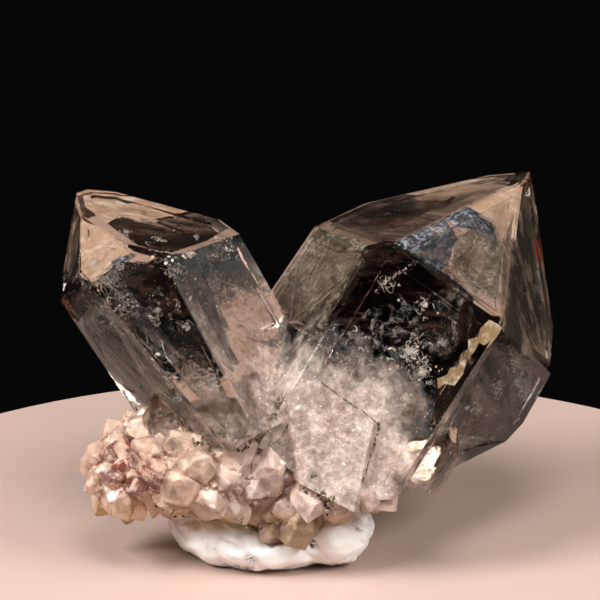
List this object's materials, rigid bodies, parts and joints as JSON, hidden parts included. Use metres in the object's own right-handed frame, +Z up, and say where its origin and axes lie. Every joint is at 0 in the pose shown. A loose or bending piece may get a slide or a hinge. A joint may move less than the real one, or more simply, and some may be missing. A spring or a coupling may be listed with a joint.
{
  "type": "quartz specimen",
  "caption": "Skeletal smoky quartz crystals fanning out from a crust of small pale quartz, standing in a lump of white mounting putty; for display on a flat surface.",
  "frame": {"origin": "on the ground, under the middle of the specimen's outer box", "axes": "+X to the right along the spread of the two crystals, +Y to the back, +Z up"},
  "size_m": [0.056, 0.0366, 0.0393],
  "materials": {
    "smoky_quartz": "clear, natural crystal faces",
    "pale_quartz": "milky, sugary crystal faces",
    "veils": "healed cracks and included films",
    "iron_stain": "earthy specks",
    "white_putty": "kneaded"
  },
  "bodies": {
    "root": {"quartz_cluster": "smoky_quartz", "mounting_putty": "white_putty"}
  },
  "joints": []
}
